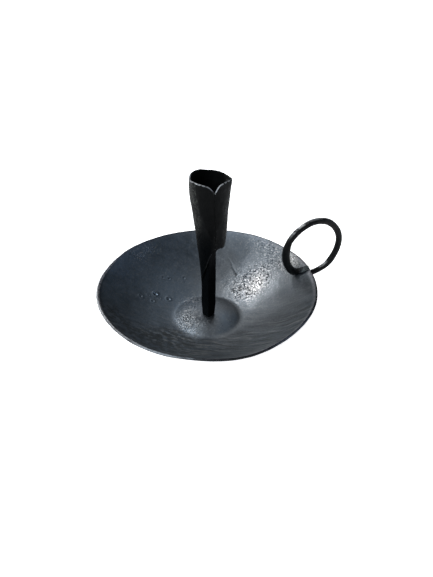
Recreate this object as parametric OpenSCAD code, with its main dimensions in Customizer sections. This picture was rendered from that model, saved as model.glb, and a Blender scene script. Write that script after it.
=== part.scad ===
// Forged chamber candle dish: a shallow raised pan, a square stem spread and
// rolled into a tapered candle socket, and a round-rod finger ring riveted
// through the pan's wall. Millimetres, +Z up, +X towards the finger ring.
// The origin is on the pan's axis, in the plane that the dish stands on.

/* [Pan] */
// Outer radius of the pan at its rim
pan_r = 75; // [70:1:80]
// Height of the rim's outer edge above the table
pan_h = 25.8; // [24:0.2:28]
// Thickness of the pan's sheet
sheet_t = 1.6; // [1.2:0.1:2]
// Slope of the wall where it leaves the foot, in degrees
wall_a0 = 14; // [10:1:18]
// Inner radius of the foot ring that the dish stands on
foot_ri = 22.5; // [20:0.5:24]
// Width of the foot ring
foot_w = 3; // [2:0.5:4]
// Height of the boss's underside above the table
boss_h = 3; // [2.6:0.1:3.6]
// Radius of the flat on top of the boss, under the stem's shoulder
boss_flat_r = 5.5; // [5.2:0.1:7]

/* [Stem] */
// Side of the square stem bar
bar_s = 7.2; // [6:0.1:7.4]
// Chamfer on the bar's long corners
bar_chamfer = 0.4; // [0.2:0.1:0.8]
// Direction in which one corner of the bar points, in degrees about Z
bar_corner_a = -110; // [-180:1:180]
// Radius of the round tenon below the stem
tenon_r = 2.5; // [2:0.1:2.8]
// Gap around the tenon in the pan's hole
tenon_gap = 0.05; // [0.02:0.01:0.1]
// Radius of the peened head under the pan
peen_r = 4.6; // [4:0.1:5]
// Height of the peened head
peen_h = 1.9; // [1.4:0.1:2.1]

/* [Candle socket] */
// Height of the socket's lip above the table
socket_top = 110; // [106:1:114]
// Height at which the bar ends and the rolled tube begins
socket_low = 57; // [55:1:60]
// Height of the floor that the candle stands on
socket_floor = 60.5; // [59:0.5:64]
// Outer radius of the socket at its lip
socket_r_top = 13.5; // [12.5:0.1:14.5]
// Outer radius of the tube at its lower end
socket_r_low = 8.6; // [8:0.1:9.2]
// Thickness of the rolled socket wall
socket_t = 1.6; // [1.2:0.1:2]
// Direction of the open seam, in degrees about Z
seam_a = -99.5; // [-180:0.5:180]
// Width of the seam between the two rolled edges
seam_w = 0.5; // [0.3:0.1:1]
// Depth of the V between the two corners at the lip
notch_d = 6; // [3:0.5:8]
// Half-width of the V at the lip
notch_w = 5; // [3:0.5:7]
// Height at which the spread of the bar begins on one side
spread_low = 31; // [28:1:36]

/* [Finger ring] */
// Radius of the ring's centre line
ring_R = 21.7; // [20.5:0.1:22.5]
// Radius of the round rod
rod_r = 2.05; // [1.8:0.05:2.3]
// Distance of the ring's centre from the pan's axis
ring_x = 79; // [78:0.5:80]
// Height of the ring's centre above the table
ring_z = 41.5; // [40.5:0.5:42.5]
// Turn of the ring's plane off the radial plane, in degrees about Z
ring_turn = 3; // [0:0.5:5]
// Distance from the pan's axis of the point that the plane turns about
ring_foot_x = 69.5; // [68:0.5:71]
// Width of the flattened tongues
tongue_w = 4.8; // [4.6:0.1:6.2]
// Thickness of the flattened tongues
tongue_t = 1.6; // [1.4:0.1:2.2]
// Slope of the wall where the inner limb lands on it, in degrees
land_a = 37.4; // [37:0.1:38]
// Turn of the inner tongue off the straight way to the rim, in degrees
tongue_turn = 37; // [32:1:40]

/* [Rivet] */
// Distance of the rivet from the inner limb's foot, along the inner tongue
rivet_s = 5; // [4.8:0.1:5.2]
// Radius of the rivet's shank
rivet_r = 1.2; // [1:0.1:1.3]
// Gap around the shank in its holes
rivet_gap = 0.05; // [0.02:0.01:0.1]
// Radius of the rivet's heads
rivet_head_r = 1.8; // [1.7:0.1:1.9]
// Height of the head outside the pan
rivet_head_out = 0.7; // [0.6:0.1:0.8]
// Height of the head inside the pan, which is filed almost flush
rivet_head_in = 0.3; // [0.2:0.1:0.4]

/* [Hidden] */
$fn = 96;
eps = 0.01;

foot_ro = foot_ri + foot_w;
// The wall is an arc in section, from the foot ring's outer edge to the rim.
wall_n = 14;
wall_run = pan_r - foot_ro;
wall_a1 = 2 * atan(pan_h / wall_run) - wall_a0;
wall_R = wall_run / (sin(wall_a1) - sin(wall_a0));
function wall_a(i) = wall_a0 + (wall_a1 - wall_a0) * i / wall_n;
// A point on the wall's section, at a distance d inside the outer face.
function wall_p(a, d) = [
    foot_ro + wall_R * (sin(a) - sin(wall_a0)) - d * sin(a),
    wall_R * (cos(wall_a0) - cos(a)) + d * cos(a)
];
// The boss is a shallow dome with a flat top, one sheet thick.
boss_n = 7;
boss_run = foot_ri - boss_flat_r;
boss_R = (boss_run * boss_run + boss_h * boss_h) / (2 * boss_h);
boss_a1 = asin(boss_run / boss_R);
function boss_p(a, d) = [
    boss_flat_r + (boss_R + d) * sin(a),
    boss_h - boss_R + (boss_R + d) * cos(a)
];

// The local frame of the wall's outer face where its slope is a, turned
// about Z by az: x runs up the slope to the rim and z into the pan.
module on_wall(a, az) {
    p = wall_p(a, 0);
    rotate([0, 0, az]) translate([p[0], 0, p[1]]) rotate([0, -a, 0])
        children();
}
riv_a = land_a + rivet_s * cos(tongue_turn) / wall_R * 180 / PI;
riv_az = -atan(rivet_s * sin(tongue_turn) / wall_p(riv_a, sheet_t)[0]);
module at_rivet() {
    on_wall(riv_a, riv_az) children();
}

// The section of the space between two depths in the wall, d0 < d1.
module wall_band(d0, d1) {
    rotate_extrude() polygon(concat(
        [for (i = [0:wall_n]) wall_p(wall_a(i), d0)],
        [for (i = [wall_n:-1:0]) wall_p(wall_a(i), d1)]
    ));
}

module pan() {
    color([0.36, 0.38, 0.41])
    difference() {
        rotate_extrude() polygon(concat(
            [[0, boss_h], [boss_flat_r, boss_h]],
            [for (i = [1:boss_n]) boss_p(boss_a1 * i / boss_n, 0)],
            [for (i = [0:wall_n]) wall_p(wall_a(i), 0)],
            [for (i = [wall_n:-1:0]) wall_p(wall_a(i), sheet_t)],
            [for (i = [boss_n - 1:-1:0]) boss_p(boss_a1 * i / boss_n, sheet_t)],
            [[0, boss_h + sheet_t]]
        ));
        // hole for the stem's tenon
        translate([0, 0, -1]) cylinder(r = tenon_r + tenon_gap, h = 10);
        // hole for the handle's rivet
        at_rivet() translate([0, 0, -3])
            cylinder(r = rivet_r + rivet_gap, h = 8);
    }
}

// The bar's section: a square with its long corners taken off.
module bar_section() {
    h = bar_s / 2;
    c = bar_chamfer;
    polygon([[h - c, -h], [h, -h + c], [h, h - c], [h - c, h],
             [-h + c, h], [-h, h - c], [-h, -h + c], [-h + c, -h]]);
}

module candle_socket() {
    seat = boss_h + sheet_t;
    lip_in = socket_r_top - socket_t;
    floor_in = socket_r_low - socket_t
        + (socket_r_top - socket_r_low) * (socket_floor - socket_low)
        / (socket_top - socket_low);
    color([0.13, 0.14, 0.15]) {
        // the rolled tube, with its floor, open seam and V at the lip
        difference() {
            rotate_extrude() polygon([
                [0, socket_low], [socket_r_low, socket_low],
                [socket_r_top, socket_top], [lip_in, socket_top],
                [floor_in, socket_floor], [0, socket_floor]
            ]);
            rotate([0, 0, seam_a])
                translate([0, -seam_w / 2, socket_floor])
                cube([socket_r_top + 5, seam_w, socket_top]);
            rotate([0, 0, seam_a]) rotate([90, 0, 90])
                linear_extrude(height = socket_r_top + 5)
                polygon([[0, socket_top - notch_d],
                         [notch_w, socket_top + eps],
                         [notch_w, socket_top + 5],
                         [-notch_w, socket_top + 5],
                         [-notch_w, socket_top + eps]]);
        }
        // one side of the spread bar, running up into the tube
        difference() {
            translate([0, 0, spread_low])
                cylinder(r1 = bar_s / 2 + 0.3, r2 = socket_r_low,
                         h = socket_low - spread_low);
            rotate([0, 0, bar_corner_a]) rotate([90, 0, 90])
                translate([0, 0, -20]) linear_extrude(height = 40)
                polygon([[-4, spread_low - 1], [20, spread_low - 1],
                         [20, socket_low + 1], [3.5, socket_low + 1],
                         [3.5, socket_low], [-2.3, socket_low - 10.5]]);
        }
        // the square stem
        translate([0, 0, seat]) rotate([0, 0, bar_corner_a + 45])
            linear_extrude(height = socket_low + 1 - seat) bar_section();
        // the tenon and the head peened over under the pan
        translate([0, 0, boss_h - 0.5])
            cylinder(r = tenon_r, h = sheet_t + 1);
        peened_head();
    }
}

// A low domed head whose flat side bears on the underside of the boss.
module peened_head() {
    R = (peen_r * peen_r + peen_h * peen_h) / (2 * peen_h);
    difference() {
        translate([0, 0, boss_h - peen_h + R]) sphere(r = R);
        translate([-R - 1, -R - 1, boss_h]) cube(2 * R + 2);
    }
}

// Part of the ring's rod, from one angle to another about its centre.
module rod_arc(a0, a1) {
    translate([ring_x, 0, ring_z]) rotate([90, 0, 0]) rotate([0, 0, a0])
        rotate_extrude(angle = a1 - a0) translate([ring_R, 0]) circle(r = rod_r);
}

// Turns the finger ring's plane about an upright line through its foot.
module turned() {
    translate([ring_foot_x, 0, 0]) rotate([0, 0, ring_turn])
        translate([-ring_foot_x, 0, 0]) children();
}

// The outline of the outer tongue, round at both ends. x0 and x1 are the
// middles of its ends, along the wall from where the inner limb lands.
module outer_outline(x0, x1) {
    w = tongue_w / 2;
    on_wall(land_a, 0) translate([0, 0, -8]) linear_extrude(height = 12)
        union() {
            translate([x0, 0]) circle(r = w);
            translate([x0, -w]) square([x1 - x0, 2 * w]);
            translate([x1, 0]) circle(r = w);
        }
}

// The outline of the inner tongue, which runs out to the rim at a slant.
module inner_outline() {
    w = tongue_w / 2;
    on_wall(land_a, 0) rotate([0, 0, -tongue_turn]) translate([0, 0, -2])
        linear_extrude(height = 12) union() {
            circle(r = w);
            translate([0, -w]) square([14, 2 * w]);
        }
}

module ring_handle() {
    color([0.17, 0.18, 0.19])
    difference() {
        union() {
            // the rod: one end lands on the inside of the wall, the other
            // passes under the rim and meets the wall from outside
            difference() {
                turned() rod_arc(-111, 243);
                wall_band(0, sheet_t);
            }
            // the inner tongue, which runs out along the wall to the rim
            intersection() {
                wall_band(sheet_t, sheet_t + tongue_t);
                inner_outline();
            }
            // the outer tongue, which bears on the underside of the wall
            intersection() {
                wall_band(-tongue_t, 0);
                outer_outline(-4, -0.6);
            }
        }
        // hole for the rivet in the inner tongue
        at_rivet() translate([0, 0, sheet_t - 0.8])
            cylinder(r = rivet_r + rivet_gap, h = tongue_t + 1.6);
    }
}

// The rivet runs square to the wall, through the inner tongue and the pan.
module handle_rivet() {
    low = 0;
    high = sheet_t + tongue_t;
    R = (rivet_head_r * rivet_head_r + rivet_head_out * rivet_head_out)
        / (2 * rivet_head_out);
    color([0.22, 0.23, 0.24])
    at_rivet() {
        translate([0, 0, low - 0.3]) cylinder(r = rivet_r, h = high - low + 0.5);
        // domed head outside the pan
        difference() {
            translate([0, 0, low - 0.05 - rivet_head_out + R]) sphere(r = R);
            translate([-R - 1, -R - 1, low - 0.05]) cube(2 * R + 2);
        }
        // low head on the inner tongue
        translate([0, 0, high + 0.05])
            cylinder(r1 = rivet_head_r, r2 = rivet_head_r - 0.4,
                     h = rivet_head_in);
    }
}

pan();
candle_socket();
ring_handle();
handle_rivet();
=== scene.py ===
"""Looks of a forged chamber candle dish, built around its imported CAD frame."""
import math

import bpy
import numpy as np
from mathutils import Matrix, Vector


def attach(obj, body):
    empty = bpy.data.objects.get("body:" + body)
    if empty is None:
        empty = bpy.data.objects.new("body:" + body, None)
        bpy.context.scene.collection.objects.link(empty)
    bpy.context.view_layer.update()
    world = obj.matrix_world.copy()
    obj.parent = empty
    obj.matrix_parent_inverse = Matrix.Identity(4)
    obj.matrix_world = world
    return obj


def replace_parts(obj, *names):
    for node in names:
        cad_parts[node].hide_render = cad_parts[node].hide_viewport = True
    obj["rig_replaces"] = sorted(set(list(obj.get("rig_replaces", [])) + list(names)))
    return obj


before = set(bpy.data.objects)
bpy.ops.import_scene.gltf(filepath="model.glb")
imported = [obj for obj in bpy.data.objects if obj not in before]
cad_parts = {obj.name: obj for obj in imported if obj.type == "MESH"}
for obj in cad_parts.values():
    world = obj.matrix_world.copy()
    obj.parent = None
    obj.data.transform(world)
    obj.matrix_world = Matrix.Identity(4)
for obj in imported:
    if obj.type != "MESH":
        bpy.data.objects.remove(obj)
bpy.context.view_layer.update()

RAD = math.pi / 180

# ---------------------------------------------------------------- sizes, mm
# The same values as in the CAD source.
PAN_R, SHEET = 75.0, 1.6
FOOT_RO, WALL_A0, WALL_R = 25.5, 14 * RAD, 119.3
WALL_C = (FOOT_RO - WALL_R * math.sin(WALL_A0), WALL_R * math.cos(WALL_A0))
BOSS_Z, BOSS_FLAT, BOSS_RC = 3.0, 5.5, 49.67
RING_R, ROD_R, RING_X, RING_Z = 21.7, 2.05, 79.0, 41.5
RING_TURN, RING_PIVOT = 3 * RAD, 69.5
LAND_A, TONGUE_TURN = 37.4 * RAD, 37 * RAD
RIVET_S = 5.0
CAM_AZ = -110 * RAD      # where the camera stands, seen from the pan's axis
SIDE_AZ = -20 * RAD      # the camera's right


# ---------------------------------------------------------------- helpers
def loop_table(points, width=6.0, n=720):
    """A smooth closed curve through (degrees, value) points, as a function of degrees."""
    p = sorted(points)
    x = np.array([a for a, _ in p], float)
    y = np.array([b for _, b in p], float)
    x = np.concatenate([x - 360, x, x + 360])
    y = np.concatenate([y, y, y])
    grid = np.arange(n) * 360.0 / n - 180
    v = np.interp(grid, x, y)
    k = np.arange(n)
    d = np.minimum(k, n - k) * 360.0 / n
    g = np.exp(-0.5 * (d / width) ** 2)
    v = np.real(np.fft.ifft(np.fft.fft(v) * np.fft.fft(g / g.sum())))

    def f(a):
        a = (np.asarray(a) + 180) % 360 - 180
        return np.interp(a, np.append(grid, 180.0), np.append(v, v[0]))
    return f


def line_table(points, width=1.5, lo=-10.0, hi=130.0, n=1400):
    """A smooth open curve through (height, value) points."""
    p = sorted(points)
    grid = np.linspace(lo, hi, n)
    v = np.interp(grid, [a for a, _ in p], [b for _, b in p])
    step = (hi - lo) / (n - 1)
    m = int(4 * width / step)
    g = np.exp(-0.5 * (np.arange(-m, m + 1) * step / width) ** 2)
    v = np.convolve(np.pad(v, m, mode="edge"), g / g.sum(), mode="valid")
    return lambda z: np.interp(z, grid, v)


def waves(seed, count, lo, hi, stretch=(1, 1, 1)):
    """A smooth random field made of plane waves between two wavelengths, about -1 to 1."""
    r = np.random.RandomState(seed)
    d = r.normal(size=(count, 3))
    d /= np.linalg.norm(d, axis=1)[:, None]
    d = d * (2 * math.pi / r.uniform(lo, hi, count))[:, None] / np.array(stretch)
    ph = r.uniform(0, 2 * math.pi, count)

    def f(x, y, z):
        s = 0.0
        for (a, b, c), p in zip(d, ph):
            s = s + np.sin(a * x + b * y + c * z + p)
        return s / math.sqrt(count * 2)
    return f


def smax(a, b, k):
    h = np.clip(0.5 + 0.5 * (a - b) / k, 0, 1)
    return b + (a - b) * h + k * h * (1 - h)


def smin(a, b, k):
    return -smax(-a, -b, k)


def step01(x, a, b):
    t = np.clip((x - a) / (b - a), 0, 1)
    return t * t * (3 - 2 * t)


def build(name, co_mm, quads, tris=(), floats=None, node=None):
    """A mesh object from arrays, in millimetres, riding on the frame."""
    me = bpy.data.meshes.new(name)
    co = np.asarray(co_mm, np.float32) * 0.001
    q = np.asarray(quads, np.int32).reshape(-1, 4)
    t = np.asarray(tris, np.int32).reshape(-1, 3)
    me.vertices.add(len(co))
    me.vertices.foreach_set("co", co.ravel())
    me.loops.add(q.size + t.size)
    me.loops.foreach_set("vertex_index", np.concatenate([q.ravel(), t.ravel()]))
    me.polygons.add(len(q) + len(t))
    starts = np.concatenate([np.arange(len(q)) * 4, q.size + np.arange(len(t)) * 3])
    me.polygons.foreach_set("loop_start", starts.astype(np.int32))
    me.polygons.foreach_set("use_smooth", np.ones(len(q) + len(t), bool))
    me.update(calc_edges=True)
    me.validate()
    for key, values in (floats or {}).items():
        at = me.attributes.new(key, "FLOAT", "POINT")
        at.data.foreach_set("value", np.asarray(values, np.float32).ravel())
    ob = bpy.data.objects.new(name, me)
    bpy.context.scene.collection.objects.link(ob)
    if node:
        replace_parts(ob, node)
        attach(ob, "root")
    return ob


def loft(rings):
    """Quads that join closed rings of equal length, one after another."""
    n, m = rings
    i = np.arange(n - 1)[:, None]
    j = np.arange(m)[None, :]
    a = i * m + j
    b = i * m + (j + 1) % m
    return np.stack([a, b, b + m, a + m], -1).reshape(-1, 4)


# ---------------------------------------------------------------- the pan
# Departures of the hand-raised rim from a true circle, by azimuth in degrees.
rim_out = loop_table([(a - 20, v) for a, v in [
    (-180, .88), (-172, .91), (-164, .83), (-156, .53), (-148, .13), (-140, -.13),
    (-132, -.16), (-124, -.06), (-116, .10), (-108, .18), (-100, .15), (-92, .14),
    (-84, .44), (-76, 1.07), (-68, 1.07), (-60, .41), (-52, -.36), (-44, -.67),
    (-36, -.68), (-28, -.58), (-20, -.11), (-12, .34), (-4, .53), (4, .85), (12, .94),
    (20, .78), (28, .71), (36, .82), (44, 1.08), (52, 1.37), (60, 1.47), (68, .84),
    (76, .20), (84, -.03), (92, -.21), (100, -.33), (108, -.43), (116, -.57),
    (124, -.61), (132, -.29), (140, .11), (148, .14), (156, .07), (164, .23),
    (172, .63)]], width=3)
rim_up = loop_table([(-180, .2), (-150, -.25), (-120, .15), (-90, -.2), (-60, .25),
                     (-30, -.1), (-14, .1), (-6, 1.2), (2, 1.7), (10, 1.3), (20, .2),
                     (50, -.25), (80, .2), (110, -.2), (140, .25)], width=4)
wob_a = waves(11, 14, 26, 60)
wob_b = waves(12, 22, 9, 18)
edge_n = waves(13, 18, 2.2, 7)
edge_m = waves(14, 14, 8, 30)


def wall_in(r):
    return WALL_C[1] - np.sqrt(np.maximum((WALL_R - SHEET) ** 2 - (r - WALL_C[0]) ** 2, 1))


def wall_out(r):
    return WALL_C[1] - np.sqrt(np.maximum(WALL_R ** 2 - (r - WALL_C[0]) ** 2, 1))


def dome(r, rise):
    x = np.maximum(r - BOSS_FLAT, 0)
    return BOSS_Z - BOSS_RC + np.sqrt(np.maximum((BOSS_RC + rise) ** 2 - x ** 2, 1))


crease_k = loop_table([(-180, 1.6), (-160, 1.9), (-120, 1.9), (-60, 1.5), (-30, 1.2), (0, 1.1),
                       (40, 1.0), (80, .6), (105, .8), (135, 1.2), (165, 1.3)], width=8)
# The pan was brushed in straight strokes, all one way: across and along them.
ACROSS = (0.616, 0.788)
ALONG = (0.788, -0.616)
# how far the rim's edge is rubbed bright, partly a painted highlight, by azimuth
rim_wear_and_sheen = loop_table([(a - 20, v) for a, v in [
    (140, .15), (150, .35), (160, .75), (170, 1.0), (200, 1.0), (212, .70), (224, .36),
    (235, .18), (246, .10), (262, .07), (278, .06), (292, .05), (310, .03), (350, .02),
    (30, .02), (80, .03), (120, .06)]], width=4)


def wall_lift(r):
    """How much higher the wall was raised than the true profile."""
    return LIFT * np.clip((r - 26) / 49, 0, None) ** 1.6


LIFT = 1.1


def dish_field(r, th, top):
    """Height that is added to the true profile at radius r and angle th."""
    x, y = r * np.cos(th), r * np.sin(th)
    away = step01(r, 27, 40)
    v = away * (0.20 * wob_a(x, y, 0) + 0.055 * wob_b(x, y, 0))
    inside = step01(r, 8, 13) * (1 - step01(r, 18, 22.5))
    v = v + inside * 0.05 * wob_b(x, y, 5)
    # the boss is a little fuller on the left
    v = v + 0.28 * step01(r, 5.5, 11) * np.exp(-((x + 9.2) ** 2 + (y + 2.0) ** 2) / 7.5 ** 2)
    # hammer marks: shallow round dents in loose courses round the wall
    for cx, cy, rad, dep in DENTS:
        d2 = ((x - cx) ** 2 + (y - cy) ** 2) / rad ** 2
        v = v - dep * np.exp(-d2 * 1.3)
    if top:
        for cx, cy, rad, dep in NICKS:
            d = np.sqrt((x - cx) ** 2 + (y - cy) ** 2) / rad
            v = v + dep * (0.5 * np.exp(-((d - 1.25) / 0.45) ** 2) - np.exp(-(d / 0.75) ** 2))
        for cx, cy, rad, dep in PITS:
            d2 = ((x - cx) ** 2 + (y - cy) ** 2) / rad ** 2
            v = v - dep * np.exp(-d2 * 1.5)
        # low ripples across the brushing on the near part of the wall
        near = -0.34 * x - 0.94 * y
        band = step01(r, 25.5, 29) * (1 - step01(r, 60, 70)) * step01(near, 12, 28)
        ph = 2 * math.pi * (ACROSS[0] * x + ACROSS[1] * y + 1.0 * wob_a(x, y, 9)
                            + 0.45 * wob_b(x, y, 9)) / 4.6
        v = v + 0.030 * band * np.sin(ph) * (0.6 + 0.5 * wob_b(x, y, 3))
    return v


def dents():
    out = []
    r = np.random.RandomState(77)
    for course, n in ((31, 26), (37, 31), (43.5, 36), (50, 42), (56.5, 47), (63, 52), (69, 58)):
        base = r.uniform(0, 360)
        for i in range(n):
            a = (base + 360.0 * i / n + r.normal(0, 3.2)) * RAD
            q = course + r.normal(0, 1.6)
            out.append((q * math.cos(a), q * math.sin(a), r.uniform(2.6, 4.6),
                        r.uniform(0.01, 0.075)))
    for i in range(26):
        a, q = r.uniform(0, 2 * math.pi), r.uniform(30, 72)
        out.append((q * math.cos(a), q * math.sin(a), r.uniform(1.0, 2.0),
                    r.uniform(0.03, 0.09)))
    return out


DENTS = dents()
# small craters with a raised lip, left by grit under the hammer
NICKS = [(-29.0, 30.4, 1.45, .75), (-20.7, 25.7, 1.35, .50), (-3.3, 42.1, 1.0, .32),
         (-32.9, 23.8, 1.0, .40), (-40.5, 27.5, 1.1, .36), (-19.0, 44.0, 1.0, .28),
         (-14.8, 42.9, 1.0, .34), (-27.0, 26.5, .75, .24), (-34.5, 29.0, .75, .20),
         (11.7, 66.8, .9, .22)]
# deeper pits where the wall was hottest: x, y, radius, depth
PITS = [(32.9, 17.8, 1.7, .50), (27.9, 19.3, 1.5, .42), (34.2, 30.4, 1.3, .40),
        (33.7, 36.2, .9, .24), (33.8, 33.6, .9, .28), (33.8, 39.4, .8, .20),
        (33.9, 41.6, .7, .16), (33.9, 35.0, .8, .24), (33.6, 37.8, .8, .22),
        (33.9, 40.5, .7, .18), (34.1, 32.0, .9, .26), (33.6, 43.0, .6, .12),
        (43.7, 23.8, 1.0, .30), (42.0, 22.0, 1.0, .28),
        (37.3, 15.2, 1.1, .30), (45.5, 20.5, .9, .26), (38.6, 25.5, 1.0, .28),
        (41.2, 16.8, .9, .26), (29.5, 13.0, 1.0, .26), (35.5, 9.5, .9, .24),
        (47.5, 14.5, .9, .24), (50.5, 17.5, .9, .26), (44.0, 27.5, .9, .22)]


def pan_shift(r, th, top=True):
    """How far the hand-raised wall leaves the true profile, outward and upward."""
    deg = th / RAD
    dr = np.clip((r - 26) / 49, 0, None) ** 2 * rim_out(deg)
    dz = np.clip((r - 52) / 22.5, 0, None) ** 2.2 * rim_up(deg) + dish_field(r, th, top)
    return dr, dz + wall_lift(r)


def pan_height(x, y, top=True):
    """Height of the pan's upper or lower face over a point."""
    th, rr = np.arctan2(y, x), np.hypot(x, y)
    r = rr - pan_shift(rr, th, top)[0]
    r = rr - pan_shift(r, th, top)[0]
    face = wall_in(r) if top else wall_out(r)
    return face + pan_shift(r, th, top)[1]


def make_pan():
    nt = 600
    th = np.arange(nt) * 2 * math.pi / nt
    deg = th / RAD
    # radii of the upper face from the tenon's hole to the rim
    r_top = np.concatenate([np.linspace(2.56, 5.5, 6), np.linspace(6.1, 22.4, 36),
                            np.linspace(22.7, 25.4, 16), np.linspace(25.9, 73.0, 110),
                            np.linspace(73.25, 73.65, 3)])
    r_bot = np.concatenate([np.linspace(74.6, 26.6, 90), np.linspace(26.3, 21.6, 18),
                            np.linspace(20.9, 5.5, 26), np.linspace(4.8, 2.56, 5)])
    rows = []           # each row: r, z before the rim's departures, part of the rim (0..1)
    soft = crease_k(deg)
    # how much wider than the sheet the rubbed and lit band is, and how wide the line of painted shade
    # inside it
    wide = 0.6 * loop_table([(a - 20, v) for a, v in [
        (140, 0), (160, 1), (235, 1), (258, .5), (280, 0), (20, 0)]], width=6)(deg)
    deep = loop_table([(a - 20, v) for a, v in [
        (170, 0), (205, .2), (235, .5), (262, .5), (290, .2), (320, 0), (100, 0)]], width=6)(deg)
    for r in r_top:
        R = np.full(nt, r)
        z = smax(dome(R, SHEET), wall_in(R), soft)
        rows.append((R, z + dish_field(R, th, True), step01(r, 73.2 - wide, 73.7 - wide),
                     math.exp(-((r - 72.7) / 0.8) ** 2),
                     np.exp(-((r - 72.9 + wide + 0.5 * deep) / (0.40 + deep)) ** 2)))
    # where the rim's inner corner is rubbed and painted with a highlight, and how dark the line of
    # painted shade inside it is
    side = loop_table([(a - 20, v) for a, v in [
        (-60, .8), (-30, .6), (-8, .4), (3, 1), (14, 1), (24, .4), (45, .1), (70, .1),
        (150, .1), (180, .2), (230, .2), (262, .5), (285, .9)]], width=5)(deg)
    line = loop_table([(a - 20, v) for a, v in [
        (-60, .1), (0, .2), (60, .1), (150, .2), (172, .7), (185, 1), (245, 1),
        (262, .6), (275, .4)]], width=6)(deg)
    # the rim's edge: sawn or sheared, then filed, so flat with broken corners
    a1 = math.asin((PAN_R - WALL_C[0]) / WALL_R)
    t = np.array([math.cos(a1), math.sin(a1)])
    nrm = np.array([-math.sin(a1), math.cos(a1)])
    mid = np.array([74.475, 26.405]) - 0.32 * t
    x, y = 74 * np.cos(th), 74 * np.sin(th)
    grow = 0.07 * edge_n(x, y, 0) + 0.10 * edge_m(x, y, 0)
    thick = 0.80 * (1 + 0.10 * edge_m(x, y, 7) + 0.05 * edge_n(x, y, 3))
    base = dish_field(np.full(nt, 74.0), th, True)
    for al in np.linspace(8, 172, 15):
        c, s = math.cos(al * RAD), math.sin(al * RAD)
        ex, ey = abs(s) ** 0.55 * 0.34, math.copysign(abs(c) ** 0.55, c)
        pr = mid[0] + t[0] * (ex + grow * s) + nrm[0] * thick * ey
        pz = mid[1] + t[1] * (ex + grow * s) + nrm[1] * thick * ey + base
        rows.append((pr, pz, np.full(nt, 1.0), math.exp(-((al - 8) / 14) ** 2), np.zeros(nt)))
    wear_and_sheen = rim_wear_and_sheen(deg)
    z_bot = np.maximum(smax(smax(dome(r_bot, 0), wall_out(r_bot), 0.1), 0 * r_bot - 0.02, 0.25), 0)
    z_bot = z_bot - z_bot.min()
    for r, z in zip(r_bot, z_bot):
        R = np.full(nt, r)
        f = dish_field(R, th, False)
        f = np.where(r > 70, f * 1.0, f)
        rows.append((R, z + f, np.full(nt, 1 - step01(74.6 - r, 0, 1.0)), 0.0, np.zeros(nt)))
    rr = np.array([a[0] for a in rows])
    zz = np.array([a[1] for a in rows])
    rim = np.array([a[2] for a in rows])
    arris = (np.array([a[3] for a in rows])[:, None] * side[None, :]).ravel()
    painted_corner_shade = (np.array([a[4] for a in rows]) * line[None, :]).ravel()
    w = np.clip((rr - 26) / 49, 0, None) ** 2
    r2 = rr + w * rim_out(deg)[None, :]
    z2 = zz + np.clip((rr - 52) / 22.5, 0, None) ** 2.2 * rim_up(deg)[None, :] + wall_lift(rr)
    z2 = np.maximum(z2, 0)      # the foot is worn flat
    co = np.stack([r2 * np.cos(th), r2 * np.sin(th), z2], -1).reshape(-1, 3)
    n = len(rows)
    q = loft((n, nt))
    # the wall of the hole in the middle joins the last row to the first
    j = np.arange(nt)
    k = (j + 1) % nt
    last = (n - 1) * nt
    q = np.concatenate([q, np.stack([last + j, last + k, k, j], -1)])
    wear_and_sheen = np.tile(wear_and_sheen, n)
    up = np.repeat(np.concatenate([np.ones(len(r_top)), np.ones(15) * 0.5,
                                   np.zeros(len(r_bot))]), nt)
    px, py, _ = co.T

    def patch(cx, cy, along, across, deg=0.0):
        c, s = math.cos(deg * RAD), math.sin(deg * RAD)
        u, v = (px - cx) * c + (py - cy) * s, (py - cy) * c - (px - cx) * s
        return np.exp(-((u / along) ** 2 + (v / across) ** 2)) * (up > 0.4)
    # where the scale is pitted and painted with glints, where it is rubbed and painted with a
    # highlight, blue, and mottled
    pits_and_glints = np.clip(1.25 * patch(40, 16, 14, 11, 15) + 0.2 * patch(58, 24, 12, 9)
                     + 0.45 * patch(-12, -5, 10, 9) + 0.65 * patch(-10, 8, 9, 5, 50)
                     + 0.9 * patch(-3, 20, 8, 4) + 1.1 * patch(70, 12, 7, 9)
                     + 0.45 * patch(-33, 59, 6, 4) + 0.45 * patch(-22, 65, 6, 4)
                     + 0.45 * patch(60, 38, 16, 6, 120), 0, 1)
    # rubbed patches, mostly painted highlights: on the bright spot of the wall, on the boss and behind
    # the ring's foot
    rubbed_and_lit = np.clip(patch(43.2, 13.5, 9.5, 5, 50) + 0.36 * patch(40, 16, 13, 8, 15)
                     + 0.18 * patch(-12, 4, 9, 9) + 1.0 * patch(70.5, 12, 5, 8), 0, 1)
    near, across = -0.34 * px - 0.94 * py, 0.94 * px - 0.34 * py
    rad = np.hypot(px, py)
    blue = np.clip(1 - step01(across, -30, 12) + 0.8 * (1 - step01(rad, 20, 24))
                   * step01(across, 2, 12) * step01(near, -8, 4), 0, 1) \
        * (1 - 0.75 * patch(-14, -2, 13, 12))
    mottled = step01(near + 6 * wob_a(px, py, 3), 10, 28) \
        * step01(-across, -6, 18) * (up > 0.4)
    brushed = step01(near, -22, 4) * step01(rad, 24, 29) * (0.25 + 0.75 * step01(near, 6, 30)) \
        * (1 - 0.5 * step01(-across, 22, 45)) * np.where(up > 0.4, 1, 0.25)
    under = np.where(up < 0.4, step01(75.2 - rad, 0, 1.2), 0.0)
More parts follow.
